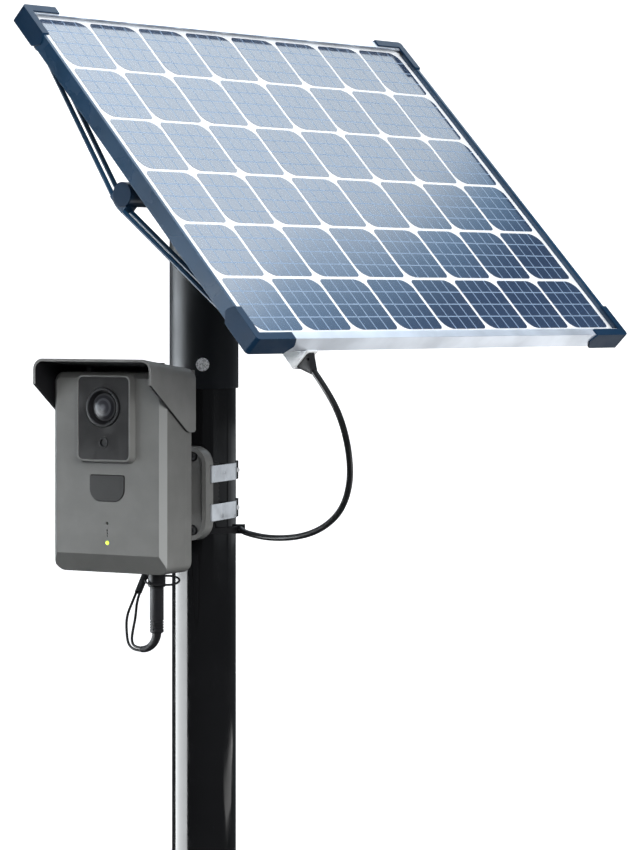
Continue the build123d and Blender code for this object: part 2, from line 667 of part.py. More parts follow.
def pir_outline(grow):
    """Detector window: nearly square upper corners and round lower ones."""
    sketch = Rectangle(PIR_W + 2 * grow, PIR_H + 2 * grow)
    lower = sketch.vertices().sort_by(Axis.Y)[:2]
    sketch = fillet(lower, PIR_ROUND + grow)
    upper = sketch.vertices().sort_by(Axis.Y)[-2:]
    return fillet(upper, 1.5 + grow)


def build_case():
    outer = case_form(0)
    inner = case_form(CASE_WALL)
    ahead = span(-CASE_W, CASE_W, case_front - 20, seam_y, CASE_BOTTOM - 5, case_top + 5)
    cavity = inner + Pos(0, 0, case_mid_z) * plate_xz(
        RectangleRounded(CASE_W - 2 * CASE_WALL, CASE_H - 2 * CASE_WALL, CASE_CORNER - CASE_WALL),
        seam_y - 5, CASE_BACK + 5)
    front = (outer & ahead) - cavity
    for x, z in corner_screw_places():
        front += along_y(x, z, inner_front + 1.5, seam_y, CASE_BOSS_R)
        front -= along_y(x, z, inner_front + 8, seam_y + 1, 1.55)
    opening = RectangleRounded(BEZEL_W - 5, BEZEL_H - 5, 3.0)
    front -= Pos(0, 0, bezel_mid_z) * plate_xz(opening, case_front - 1, inner_front + 1)
    pir_mid = PIR_TOP - PIR_H / 2
    front -= Pos(0, 0, pir_mid) * plate_xz(pir_outline(0.15), case_front - 1, inner_front + 1)
    front -= along_y(0, MIC_Z, case_front - 1, inner_front + 1, MIC_R)
    for drop in MIC_DOT_DROPS:
        front -= along_y(0, MIC_Z - drop, case_front - 1, inner_front + 1, MIC_DOT_R)
    front -= along_y(0, LED_Z, case_front - 1, inner_front + 1, LED_R + FIT)
    front -= upright(PORT_X, PORT_Y, CASE_BOTTOM - 1, CASE_BOTTOM + CASE_WALL + 1, PORT_NECK_R)
    for x in (-HOOD_SCREW_X, HOOD_SCREW_X):
        front -= upright(x, HOOD_SCREW_Y, case_top - 4, case_top + 1, HOOD_SCREW_R)
    add_one("front_shell", front)

    rear = outer - ahead
    hollow = RectangleRounded(CASE_W - 2 * CASE_WALL, CASE_H - 2 * CASE_WALL, CASE_CORNER - CASE_WALL)
    rear -= Pos(0, 0, case_mid_z) * plate_xz(hollow, seam_y - 1, CASE_BACK - CASE_WALL)
    rear = fillet(rear.faces().sort_by(Axis.Y)[-1].edges(), 1.2)
    for x, z in corner_screw_places():
        rear += along_y(x, z, seam_y, CASE_BACK - 1, CASE_BOSS_R)
        rear -= along_y(x, z, seam_y - 1, CASE_BACK + 1, 1.6)
    groove_out = RectangleRounded(CASE_W - 1.2, CASE_H - 1.2, CASE_CORNER - 0.6)
    groove_in = RectangleRounded(CASE_W - 3.6, CASE_H - 3.6, CASE_CORNER - 1.8)
    ring = Pos(0, 0, case_mid_z) * plate_xz(groove_out - groove_in, seam_y, seam_y + 1.2)
    rear -= ring
    for side in (-1, 1):
        x0 = side * (TILT_BARREL_W / 2 + KNUCKLE_GAP)
        x1 = x0 + side * EAR_T
        rear += span(x0, x1, CASE_BACK - 0.5, TILT_Y, PLATE_Z - TILT_BARREL_R, PLATE_Z + TILT_BARREL_R)
        rear += along_x(TILT_Y, PLATE_Z, x0, x1, TILT_BARREL_R)
    rear -= along_x(TILT_Y, PLATE_Z, -20, 20, PIN_R)
    add_one("rear_shell", rear)
    add_one("case_gasket", ring)

    screws = []
    for x, z in corner_screw_places():
        shank = along_y(x, z, CASE_BACK - 22, CASE_BACK, 1.5)
        screws.append(shank + along_y(x, z, CASE_BACK, CASE_BACK + 1.8, 2.8))
    add("case_screws", *screws)


def build_optics():
    outline = RectangleRounded(BEZEL_W + 2 * BEZEL_DRAFT, BEZEL_H, 5.0)
    narrow = RectangleRounded(BEZEL_W, BEZEL_H - 2 * BEZEL_DRAFT, 4.5)
    back = Pos(0, case_front, bezel_mid_z) * Rot(90, 0, 0) * outline
    ahead = Pos(0, bezel_front, bezel_mid_z) * Rot(90, 0, 0) * narrow
    bezel = loft([back, ahead])
    pane_w = BEZEL_W - 2 * BEZEL_LIP
    pane_h = BEZEL_H - 2 * BEZEL_DRAFT - 2 * BEZEL_LIP
    place = Pos(0, 0, bezel_mid_z)
    rebate = RectangleRounded(pane_w + 0.2, pane_h + 0.2, PANE_CORNER + 0.1)
    bezel -= place * plate_xz(rebate, bezel_front - 1, bezel_front + 2)
    bezel -= place * plate_xz(RectangleRounded(pane_w - 4, pane_h - 4, 2.5), bezel_front, case_front + 1)
    add_one("lens_bezel", bezel)

    pane_y = bezel_front + 0.3
    pane_back = bezel_front + 2
    pane = place * plate_xz(RectangleRounded(pane_w, pane_h, PANE_CORNER), pane_y, pane_back)
    pane -= along_y(0, LENS_Z, pane_y - 1, pane_back + 1, LENS_RING_R - 1 + FIT)
    pane -= along_y(0, LIGHT_SENSOR_Z, pane_y - 1, pane_back + 1, LIGHT_SENSOR_R + FIT)
    add_one("lens_window", pane)

    ring = along_y(0, LENS_Z, pane_y - RING_PROUD, pane_y, LENS_RING_R)
    ring = fillet(ring.edges().group_by(Axis.Y)[0], 0.8)
    ring += along_y(0, LENS_Z, pane_y, pane_back + 2, LENS_RING_R - 1)
    funnel = Cone(LENS_R + 2.2, LENS_R, 3, align=(Align.CENTER, Align.CENTER, Align.MIN))
    bore = Pos(0, pane_y - RING_PROUD, LENS_Z) * Rot(-90, 0, 0) * funnel
    ring -= bore + along_y(0, LENS_Z, pane_y - 1, pane_back + 3, LENS_R)
    add_one("lens_ring", ring)

    glass_y = pane_y + 1.0
    disc = along_y(0, LENS_Z, glass_y, glass_y + 2.2, LENS_R - FIT)
    dome_r = 24.0
    sag = dome_r - math.sqrt(dome_r ** 2 - (LENS_R - FIT) ** 2)
    dome = (Pos(0, glass_y - sag + dome_r, LENS_Z) * Sphere(dome_r))
    dome &= span(-LENS_R, LENS_R, glass_y - sag - 1, glass_y + 0.1, LENS_Z - LENS_R, LENS_Z + LENS_R)
    dome &= along_y(0, LENS_Z, glass_y - 5, glass_y + 1, LENS_R - FIT)
    add_one("lens_glass", disc + dome)

    barrel_y = glass_y + 2.2
    house_y = inner_front + 4.5
    barrel = along_y(0, LENS_Z, barrel_y, house_y, LENS_R - 0.3)
    barrel += span(-17, 17, house_y, house_y + 5, LENS_Z - 9, LENS_Z + 9)
    barrel -= along_y(0, LENS_Z, barrel_y - 1, house_y + 6, 5.0)
    slot_y = house_y + 1.8
    barrel -= span(-18, 18, slot_y, slot_y + 1.6, LENS_Z - 5.5, LENS_Z + 5.5)
    add_one("lens_barrel", barrel)
    plate = span(-12, 4.5, slot_y + 0.4, slot_y + 1.2, LENS_Z - 5.2, LENS_Z + 5.2)
    add_one("ir_cut_filter", plate)

    board_y = house_y + 5
    board = span(-19, 19, board_y, board_y + 1.6, LENS_Z - 19, LENS_Z + 19)
    sensor = span(-3.4, 3.4, board_y - 1.0, board_y, LENS_Z - 3, LENS_Z + 3)
    add_one("image_sensor_board", board + sensor)

    light = along_y(0, LIGHT_SENSOR_Z, pane_y - 0.4, pane_back + 1, LIGHT_SENSOR_R)
    light -= along_y(0, LIGHT_SENSOR_Z, pane_y - 1, pane_y + 0.6, LIGHT_SENSOR_R - 1.2)
    add_one("light_sensor", light)


def build_electronics():
    board_front = inner_front + 8.0
    board = span(-36, 36, board_front, board_front + 1.6, CASE_BOTTOM + 18, LENS_Z - 22)
    add_one("main_board", board)
    pir_mid = PIR_TOP - PIR_H / 2
    window = Pos(0, 0, pir_mid) * plate_xz(pir_outline(0), case_front - 0.7, inner_front + 0.2)
    window = fillet(window.faces().sort_by(Axis.Y)[0].edges(), 0.5)
    window += Pos(0, 0, pir_mid) * plate_xz(pir_outline(1.5), inner_front, inner_front + 1.0)
    add_one("pir_window", window)
    add_one("pir_sensor", along_y(0, pir_mid, board_front - 4, board_front, 4.6))
    add_one("status_led", along_y(0, LED_Z, case_front - 0.3, board_front, LED_R))
    cell_y = CASE_BACK - CASE_WALL - 9.4
    cell_low = CASE_BOTTOM + BATTERY_LIFT
    cell_high = cell_low + BATTERY_LENGTH
    places = (-BATTERY_PITCH / 2, BATTERY_PITCH / 2)
    add("battery_cells", *[upright(x, cell_y, cell_low, cell_high, BATTERY_R) for x in places])
    half = BATTERY_PITCH
    wall_y = CASE_BACK - CASE_WALL
    tray = span(-half, half, cell_y + 2, wall_y, cell_low - 3, cell_high + 3)
    room = BATTERY_R + FIT
    tray -= span(1.1 - half, half - 1.1, cell_y - room, cell_y + 12, cell_low - 0.2, cell_high + 0.2)
    tray += span(-half, half, wall_y - 0.8, wall_y, cell_low - 3, cell_high + 3)
    for x in places:
        tray -= upright(x, cell_y, cell_low - 0.2, cell_high + 0.2, room)
    add_one("battery_tray", tray)


def build_hood():
    half = CASE_W / 2 + HOOD_GAP + HOOD_WALL
    cheek = [(HOOD_FRONT, HOOD_CHEEK_FRONT), (HOOD_FRONT, HOOD_TOP_FRONT), (HOOD_BACK, HOOD_TOP_BACK),
             (HOOD_BACK, HOOD_CHEEK_BACK + 1.5), (HOOD_BACK - 1.5, HOOD_CHEEK_BACK),
             (HOOD_BACK - 8.0, HOOD_CHEEK_BACK), (HOOD_BACK - 12.0, HOOD_CHEEK_BACK + 1.5)]
    hood = profile_yz(cheek, -half, half)
    outer = hood.edges().filter_by(lambda e: abs(e.center().X) > half - 1)
    long_edges = outer.filter_by(lambda e: e.center().Z > HOOD_TOP_BACK)
    hood = fillet(long_edges, HOOD_CORNER)
    rise = (HOOD_TOP_FRONT - HOOD_TOP_BACK) / (HOOD_BACK - HOOD_FRONT)
    past = 20.0
    ahead = HOOD_FRONT - past
    behind = HOOD_BACK + past
    under_front = HOOD_TOP_FRONT - HOOD_WALL + past * rise
    under_back = HOOD_TOP_BACK - HOOD_WALL - past * rise
    room = [(ahead, case_mid_z), (ahead, under_front), (behind, under_back), (behind, case_mid_z)]
    inside = profile_yz(room, -half + HOOD_WALL, half - HOOD_WALL)
    inner = inside.edges().filter_by(lambda e: abs(e.center().X) > half - 3 and e.length > past)
    top_edges = inner.filter_by(lambda e: e.center().Z > HOOD_TOP_BACK - 6)
    inside = fillet(top_edges, HOOD_CORNER - HOOD_WALL)
    hood -= inside
    hood += span(1 - half, half - 1, HOOD_BACK - HOOD_WALL / 2, HOOD_BACK, HOOD_SKIRT_Z, HOOD_TOP_BACK - 1)
    for x, z in corner_screw_places():
        hood -= along_y(x, z, CASE_BACK, HOOD_BACK + 1, CASE_BOSS_R)
    roof_z = HOOD_TOP_BACK + (HOOD_BACK - HOOD_SCREW_Y) * rise
    for x in (-HOOD_SCREW_X, HOOD_SCREW_X):
        hood += upright(x, HOOD_SCREW_Y, case_top, roof_z - 0.5, 4.0)
        hood -= upright(x, HOOD_SCREW_Y, case_top - 1, roof_z + 3, HOOD_SCREW_R + SCREW_PLAY)
    add_one("sun_hood", hood)
    screws = []
    for x in (-HOOD_SCREW_X, HOOD_SCREW_X):
        head = upright(x, HOOD_SCREW_Y, roof_z + 0.5, roof_z + 2.4, 3.0)
        screws.append(head + upright(x, HOOD_SCREW_Y, case_top - 6, roof_z + 0.5, HOOD_SCREW_R))
    add("hood_screws", *screws)


def build_port():
    z = CASE_BOTTOM
    collar = upright(PORT_X, PORT_Y, plug_top, z, COLLAR_R)
    collar = fillet(collar.edges().group_by(Axis.Z)[0], 0.8)
    collar += upright(PORT_X, PORT_Y, z, z + CASE_WALL, PORT_NECK_R)
    collar += upright(PORT_X, PORT_Y, z + CASE_WALL, z + 15, PORT_NECK_R + 1.3)
    collar -= upright(PORT_X, PORT_Y, plug_top - 1, z + 12, PLUG_R - 0.4)
    add_one("port_collar", collar)

    plug = upright(PORT_X, PORT_Y, plug_bottom, plug_top, PLUG_R)
    plug = fillet(plug.edges().group_by(Axis.Z)[0], 1.2)
    plug += upright(PORT_X, PORT_Y, plug_top, z + 11, PLUG_R - 0.5)
    for index in range(4):
        groove_z = plug_bottom + 2.6 + index * 1.9
        ring = upright(PORT_X, PORT_Y, groove_z, groove_z + 0.8, PLUG_R + 1)
        plug -= ring - upright(PORT_X, PORT_Y, groove_z - 1, groove_z + 2, PLUG_R - 0.6)
    turn_centre = (PORT_X - TAIL_BEND_R, PORT_Y, plug_bottom + 0.5)
    bend_plane = Plane(origin=turn_centre, x_dir=(1, 0, 0), z_dir=(0, -1, 0))
    path = bend_plane * CenterArc((0, 0), TAIL_BEND_R, 0, -90)
    wide = Plane(origin=path @ 0, z_dir=path % 0) * Circle(3.4)
    thin = Plane(origin=path @ 1, z_dir=path % 1) * Circle(2.3)
    tail = sweep([wide, thin], path=path, multisection=True)
    add_one("charging_plug", plug + tail)

    tether_r = COLLAR_R + TETHER_WIRE_R + 1.1
    reach = TETHER_REACH
    ring_path = SlotCenterToCenter(reach, 2 * tether_r).wires()[0]
    wire_start = Plane(origin=ring_path @ 0, z_dir=ring_path % 0) * Circle(TETHER_WIRE_R)
    loop = sweep(wire_start, path=ring_path)
    hang = Pos(PORT_X, PORT_Y, z - TETHER_DROP) * Rot(0, 0, TETHER_HEADING) * Rot(TETHER_TILT, 0, 0)
    add_one("tether_loop", hang * Pos(reach / 2, 0, 0) * loop)


# ---- cables -------------------------------------------------------------------------------
def corner_radii(points):
    """As large an arc at each corner as its two runs allow."""
    radii = []
    for before, here, after in zip(points, points[1:], points[2:]):
        come = Vector(*here) - Vector(*before)
        leave = Vector(*after) - Vector(*here)
        turn = math.radians(come.get_angle(leave))
        radii.append(0.45 * min(come.length, leave.length) / math.tan(turn / 2))
    return radii


def cord(name, points, diameter):
    """Round cord along straight runs joined by tangent arcs."""
    radii = corner_radii(points)
    path = FilletPolyline(*points, radius=radii)
    section = Plane(origin=path @ 0, z_dir=path % 0) * Circle(diameter / 2)
    tube = sweep(section, path=path)
    want = math.pi * diameter ** 2 / 4 * path.length
    runs = [round((Vector(*b) - Vector(*a)).length, 1) for a, b in zip(points, points[1:])]
    print(f"{name}: length {path.length:.1f} runs {runs} radii {[round(r, 1) for r in radii]}"
          f" volume {one(tube).volume:.1f} of {want:.1f}")
    add_one(name, tube)


def panel_point(x, y, z):
    """A point of the panel's own axes, in the assembly's axes."""
    return tuple((panel_place * Pos(x, y, z)).position)


def round_pole(heading, gap, z):
    """A point that stands off the pole by a gap, at a heading from -Y towards +X."""
    angle = math.radians(heading)
    reach = pole_r + gap
    return (reach * math.sin(angle), -reach * math.cos(angle), z)


CABLE_UPPER = [
    (222, -183, 348),
    (221, -169, 325),
    (208, -143, 301),
    (184, -112, 279),
    (151, -80, 263),
    (114, -50, 253),
    (76, -28, 249),
    (46, -10, 250),
]
CABLE_LOWER = [
    round_pole(174, 10, 251.2),
    round_pole(201.5, 12.5, 250.5),
    round_pole(228, 13.5, 249.3),
    round_pole(256, 12.5, 248),
    round_pole(285, 12.5, 246.3),
    (-30, -27, 244),
    (-19.5, -43.5, 240.6),
    (-8.9, -57.5, 234),
]
SPLIT_TOP = (-7.0, -68.4, 223.9)
SPLIT_LENGTH = 20.0
LEAD_SPREAD = 1.6
LEAD_OUTER = [
    (-6, -96, 194),
    (-1.5, -103, 184),
    (4, -109, 175),
]
LEAD_INNER = [
    (1.5, -95.5, 193.5),
    (3.5, -102, 185),
    (6.5, -108.5, 178),
]


def build_cables():
    turn = Rot(0, 0, CLIP_HEADING)
    strap = upright(0, 0, CLIP_Z - 2.2, CLIP_Z + 2.2, pole_r + 1.3)
    clip_out = clip_r + CABLE_D / 2 + 0.8
    block = span(-CLIP_HALF, CLIP_HALF, -clip_out, -pole_r, CLIP_Z - CLIP_HALF, CLIP_Z + CLIP_HALF)
    clip = turn * block + strap
    clip -= upright(0, 0, CLIP_Z - 6, CLIP_Z + 6, pole_r + FIT)
    clip -= turn * along_x(-clip_r, CLIP_Z, -6, 6, CABLE_D / 2 + FIT)
    add_one("cable_tie", clip)
    meet = tuple((turn * Pos(0, -clip_r, CLIP_Z)).position)
    before = tuple((turn * Pos(-14, -clip_r, CLIP_Z)).position)
    after = tuple((turn * Pos(14, -clip_r, CLIP_Z)).position)
    start = panel_point(JBOX_X, jbox_end - BOOT_LENGTH, jbox_mid_z)
    leave = panel_point(JBOX_X, jbox_end - BOOT_LENGTH - 13, jbox_mid_z)
    cord("panel_cable_upper", [start, leave, *CABLE_UPPER, before, meet], CABLE_D)
    cord("panel_cable_lower", [meet, after, *CABLE_LOWER, SPLIT_TOP], CABLE_D)

    top = Vector(*SPLIT_TOP)
    down = Plane(origin=top, x_dir=(1, 0, 0), z_dir=top - Vector(*CABLE_LOWER[-1]))
    far = down.offset(SPLIT_LENGTH)
    split = loft([down * Circle(2.6), far * RectangleRounded(5.4, 3.6, 1.6)])
    add_one("cable_split", split)

    tail_x = PORT_X - TAIL_BEND_R
    tail_z = plug_bottom + 0.5 - TAIL_BEND_R
    gap = LEAD_D / 2 + 0.1
    leads = (("lead_outer", -1, LEAD_OUTER, tail_z - gap), ("lead_inner", 1, LEAD_INNER, tail_z + gap))
    for name, side, points, z in leads:
        start = tuple(far.from_local_coords(Vector(side * LEAD_SPREAD, 0, 0)))
        leave = tuple(far.from_local_coords(Vector(side * LEAD_SPREAD, 0, 8)))
        cord(name, [start, leave, *points, (tail_x - 6.2, PORT_Y, z), (tail_x, PORT_Y, z)], LEAD_D)


def build_all():
    build_pole()
    build_head()
    build_rails()
    build_guards()
    build_laminate()
    build_cross_tube()
    build_stays()
    build_junction_box()
    build_bracket()
    build_bands()
    build_knuckle()
    build_case()
    build_optics()
    build_electronics()
    build_hood()
    build_port()
    build_cables()


build_all()
os.makedirs("parts", exist_ok=True)
for name, solids in nodes.items():
    shape = solids[0] if len(solids) == 1 else Compound(children=solids)
    export_step(shape, f"parts/{name}.step")
print(len(nodes), "nodes")
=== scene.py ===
import math

import bpy
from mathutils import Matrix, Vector


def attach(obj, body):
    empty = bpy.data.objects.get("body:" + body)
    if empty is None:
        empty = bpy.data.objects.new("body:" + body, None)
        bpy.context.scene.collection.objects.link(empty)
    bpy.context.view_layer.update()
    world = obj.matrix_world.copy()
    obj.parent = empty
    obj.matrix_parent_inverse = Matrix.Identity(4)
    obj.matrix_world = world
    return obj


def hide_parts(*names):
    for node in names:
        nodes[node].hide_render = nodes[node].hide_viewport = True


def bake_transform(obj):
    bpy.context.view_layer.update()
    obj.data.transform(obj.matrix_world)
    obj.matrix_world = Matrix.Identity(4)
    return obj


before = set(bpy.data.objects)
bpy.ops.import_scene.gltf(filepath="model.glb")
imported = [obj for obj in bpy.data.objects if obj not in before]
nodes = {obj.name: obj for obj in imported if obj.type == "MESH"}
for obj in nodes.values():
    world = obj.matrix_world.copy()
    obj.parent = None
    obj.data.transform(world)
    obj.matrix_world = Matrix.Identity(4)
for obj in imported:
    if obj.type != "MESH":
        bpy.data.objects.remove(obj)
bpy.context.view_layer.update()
scene = bpy.context.scene
MM = 0.001


# ---- camera ------------------------------------------------------------------------------
VIEW_AZIMUTH = math.radians(30)
CAMERA_PLACE = (1.2089, -1.9165, 0.4205)
CAMERA_LENS = 127.06
HORIZON_SHIFT = -0.1413

camera = bpy.data.objects.new("camera_view", bpy.data.cameras.new("camera_view"))
scene.collection.objects.link(camera)
camera.location = CAMERA_PLACE
camera.rotation_euler = (math.pi / 2, 0, VIEW_AZIMUTH)
camera.data.sensor_width = 36
camera.data.lens = CAMERA_LENS
camera.data.shift_y = HORIZON_SHIFT
camera.data.clip_end = 60
scene.camera = camera
right = Vector((math.cos(VIEW_AZIMUTH), math.sin(VIEW_AZIMUTH), 0))
away = Vector((-math.sin(VIEW_AZIMUTH), math.cos(VIEW_AZIMUTH), 0))
up = Vector((0, 0, 1))


# ---- cords -------------------------------------------------------------------------------
CABLE_D = 4.4 * MM
LEAD_D = 1.9 * MM
MEET = (24.25, 14, 251.5)
UPPER_ROUTE = [
    (203.0, -184.3, 375.9), (211.8, -186.1, 366.5), (222, -183, 348), (221, -169, 325), (208, -143, 301),
    (184, -112, 279), (151, -80, 263), (114, -50, 253), (76, -28, 249), (46, -10, 250),
    (31.25, 1.88, 251.5), MEET,
]
LOWER_ROUTE = [
    MEET, (17.25, 26.12, 251.5), (3.57, 33.96, 251.2), (-13.43, 34.1, 250.5), (-27.98, 25.19, 249.3),
    (-35.56, 8.87, 248), (-35.4, -9.49, 246.3), (-30, -27, 244), (-19.5, -43.5, 240.6),
    (-8.9, -57.5, 234), (-7, -68.4, 223.9),
]


def spline_object(name, points, diameter):
    """Open NURBS spline through a cord's route, with a round bevel, in metres from millimetres."""
    curve = bpy.data.curves.new(name, "CURVE")
    curve.dimensions = "3D"
    spline = curve.splines.new("NURBS")
    spline.points.add(len(points) - 1)
    for point, place in zip(spline.points, points):
        point.co = (place[0] * MM, place[1] * MM, place[2] * MM, 1)
    spline.order_u = 3
    spline.use_endpoint_u = True
    spline.resolution_u = 12
    curve.bevel_depth = diameter / 2
    curve.bevel_resolution = 5
    obj = bpy.data.objects.new(name, curve)
    scene.collection.objects.link(obj)
    return obj


def cord_mesh(name, points, diameter):
    """Tube mesh of a cord, and the centreline points that it follows."""
    line = spline_object(name + "_line", points, 0)
    rings = [tuple(v.co) for v in bpy.data.meshes.new_from_object(line).vertices]
    bpy.data.objects.remove(line)
    curve = spline_object(name + "_curve", points, diameter)
    curve.data.use_fill_caps = True
    graph = bpy.context.evaluated_depsgraph_get()
    mesh = bpy.data.meshes.new_from_object(curve.evaluated_get(graph))
    bpy.data.objects.remove(curve)
    tube = bpy.data.objects.new(name, mesh)
    scene.collection.objects.link(tube)
    for polygon in mesh.polygons:
        polygon.use_smooth = True
    return tube, rings


def make_cord(name, node, points, diameter):
    """Tube of a cord along its route, from the first body's end of bend to the second's, in place of the
    hidden CAD node.
    """
    tube, rings = cord_mesh(name, points, diameter)
    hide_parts(node)
    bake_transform(tube)
    return tube


LEAD_OUTER = [
    (-6.05, -83.1, 210.28), (-5.04, -88.92, 204.89), (-6, -96, 194), (-1.5, -103, 184), (4, -109, 175),
    (10.8, -111, 171.65), (17, -111, 171.65),
]
LEAD_INNER = [
    (-2.88, -82.8, 210.56), (-1.86, -88.62, 205.16), (1.5, -95.5, 193.5), (3.5, -102, 185),
    (6.5, -108.5, 178), (10.8, -111, 173.75), (17, -111, 173.75),
]
cables = [
    make_cord("cable_to_panel", "panel_cable_upper", UPPER_ROUTE, CABLE_D),
    make_cord("cable_round_pole", "panel_cable_lower", LOWER_ROUTE, CABLE_D),
]
leads = [
    make_cord("lead_front", "lead_outer", LEAD_OUTER, LEAD_D),
    make_cord("lead_rear", "lead_inner", LEAD_INNER, LEAD_D),
]


# ---- material helpers --------------------------------------------------------------------
class Finish:
    """One Principled material, with short calls for the nodes that vary it."""

    def __init__(self, name, colour, roughness, **sockets):
        self.material = bpy.data.materials.new(name)
        self.material.use_nodes = True
        self.tree = self.material.node_tree
        self.shader = self.tree.nodes["Principled BSDF"]
        self.colour = colour
        self.roughness = roughness
        self.shader.inputs["Base Color"].default_value = (*colour, 1)
        self.shader.inputs["Roughness"].default_value = roughness
        for label, value in sockets.items():
            self.shader.inputs[label.replace("_", " ")].default_value = value
        self.place = self.node("ShaderNodeTexCoord").outputs["Object"]
        self.normal = None

    def node(self, kind, **settings):
        made = self.tree.nodes.new(kind)
        for label, value in settings.items():
            setattr(made, label, value)
        return made

    def feed(self, socket, value):
        if isinstance(value, bpy.types.NodeSocket):
            self.tree.links.new(value, socket)
        else:
            socket.default_value = value

    def maths(self, operation, a, b=0.0):
        made = self.node("ShaderNodeMath", operation=operation)
        self.feed(made.inputs[0], a)
        self.feed(made.inputs[1], b)
        return made.outputs[0]

    def fade(self, value, low, high, out_low=0.0, out_high=1.0):
        """Smooth step of a value between two of its levels."""
        made = self.node("ShaderNodeMapRange", interpolation_type="SMOOTHSTEP")
        for socket, number in zip(made.inputs, (value, low, high, out_low, out_high)):
            self.feed(socket, number)
        return made.outputs[0]

    def dot(self, direction, offset=0.0):
        """Distance of a point along a direction, less an offset."""
        made = self.node("ShaderNodeVectorMath", operation="DOT_PRODUCT")
        self.feed(made.inputs[0], self.place)
        made.inputs[1].default_value = direction
        return self.maths("SUBTRACT", made.outputs["Value"], offset)

    def stretch(self, scale):
        """Coordinates scaled separately along the three axes."""
        made = self.node("ShaderNodeMapping")
        self.feed(made.inputs["Vector"], self.place)
        made.inputs["Scale"].default_value = scale
        return made.outputs["Vector"]

    def noise(self, scale, detail=3.0, stretch=None):
        made = self.node("ShaderNodeTexNoise")
        self.feed(made.inputs["Vector"], self.place if stretch is None else self.stretch(stretch))
        made.inputs["Scale"].default_value = scale
        made.inputs["Detail"].default_value = detail
        return made.outputs["Fac"]

    def grains(self, scale):
        """Cell noise, for a moulded or sprayed grain."""
        made = self.node("ShaderNodeTexVoronoi", feature="SMOOTH_F1")
        self.feed(made.inputs["Vector"], self.place)
        made.inputs["Scale"].default_value = scale
        return made.outputs["Distance"]

    def blend(self, factor, a, b):
        made = self.node("ShaderNodeMix", data_type="RGBA")
        self.feed(made.inputs["Factor"], factor)
        for label, value in (("A", a), ("B", b)):
            socket = [s for s in made.inputs if s.name == label and s.type == "RGBA"][0]
            self.feed(socket, value if isinstance(value, bpy.types.NodeSocket) else (*value, 1))
        return [s for s in made.outputs if s.type == "RGBA"][0]

    def paint(self, colour):
        self.feed(self.shader.inputs["Base Color"], colour)

    def rough(self, value):
        self.feed(self.shader.inputs["Roughness"], value)

    def mottle(self, scale, share, stretch=None):
        """Colour that drifts lighter and darker than the base by a share."""
        low = tuple(v * (1 - share) for v in self.colour)
        high = tuple(min(1, v * (1 + share)) for v in self.colour)
        return self.blend(self.fade(self.noise(scale, stretch=stretch), 0.3, 0.7), low, high)

    def vary_roughness(self, scale, spread, stretch=None):
        level = self.noise(scale, stretch=stretch)
        self.rough(self.fade(level, 0.25, 0.75, self.roughness - spread, self.roughness + spread))

    def edges(self, radius):
        """Rounds the shading at edges, and gives a mask that is 1 on them."""
        bevel = self.node("ShaderNodeBevel", samples=4)
        bevel.inputs["Radius"].default_value = radius
        flat = self.node("ShaderNodeNewGeometry").outputs["Normal"]
        made = self.node("ShaderNodeVectorMath", operation="DOT_PRODUCT")
        self.feed(made.inputs[0], bevel.outputs["Normal"])
        self.feed(made.inputs[1], flat)
        self.normal = bevel.outputs["Normal"]
        return self.fade(made.outputs["Value"], 0.995, 0.9, 0.0, 1.0)

    def bump(self, height, depth, strength=1.0):
        made = self.node("ShaderNodeBump")
        made.inputs["Strength"].default_value = strength
        made.inputs["Distance"].default_value = depth
        self.feed(made.inputs["Height"], height)
        if self.normal is not None:
            self.feed(made.inputs["Normal"], self.normal)
        self.normal = made.outputs["Normal"]

    def done(self):
        if self.normal is not None:
            self.feed(self.shader.inputs["Normal"], self.normal)
        return self.material


def dress(material, *names):
    """Gives CAD nodes a material in all their slots."""
    for name in names:
        mesh = nodes[name].data
        if not mesh.materials:
            mesh.materials.append(material)
        for index in range(len(mesh.materials)):
            mesh.materials[index] = material


def plastic(name, colour, roughness, grain_scale, grain_depth, wear=0.0, edge=0.5 * MM,
            chamfer_sheen=None, **sockets):
    """Moulded plastic with a spark-eroded grain, paler on worn edges, with a painted highlight on
    upright chamfer faces.
    """
    made = Finish(name, colour, roughness, **sockets)
    mask = made.edges(edge)
    body = made.mottle(60, 0.06)
    worn = tuple(min(1, v * 1.5 + 0.02) for v in colour)
    # Painted highlight: faces whose normal stands near 45 degrees between x and y are painted paler, as
    # if lit.
    if chamfer_sheen:
        faces = made.node("ShaderNodeSeparateXYZ")
        made.feed(faces.inputs[0], made.node("ShaderNodeNewGeometry").outputs["Normal"])
        sideways = made.maths("ABSOLUTE", faces.outputs["X"])
        cut = made.maths("MULTIPLY", sideways, made.maths("ABSOLUTE", faces.outputs["Y"]))
        body = made.blend(made.fade(cut, 0.40, 0.47), body, chamfer_sheen)
    made.paint(made.blend(made.maths("MULTIPLY", mask, wear), body, worn))
    made.vary_roughness(90, 0.05)
    made.bump(made.grains(grain_scale), grain_depth)
    return made.done()


def coated(name, colour, roughness, peel_scale, peel_depth, wear=0.15, edge=0.4 * MM, **sockets):
    """Paint or powder coat on metal, with orange peel, dust and paler edges."""
    made = Finish(name, colour, roughness, **sockets)
    mask = made.edges(edge)
    body = made.mottle(25, 0.12)
    worn = tuple(min(1, v * 2.2 + 0.03) for v in colour)
    made.paint(made.blend(made.maths("MULTIPLY", mask, wear), body, worn))
    made.vary_roughness(40, 0.06)
    made.bump(made.noise(peel_scale, 2), peel_depth)
    return made.done()


def metal(name, colour, roughness, line_stretch, line_scale, spread=0.08, edge=0.25 * MM):
    """Bare metal with fine drawn or brushed lines."""
    made = Finish(name, colour, roughness, Metallic=0.5)
    made.edges(edge)
    made.paint(made.mottle(line_scale, 0.12, line_stretch))
    made.vary_roughness(line_scale * 1.7, spread, line_stretch)
    made.bump(made.noise(line_scale * 2, 2, stretch=line_stretch), 0.02 * MM, 0.5)
    return made.done()


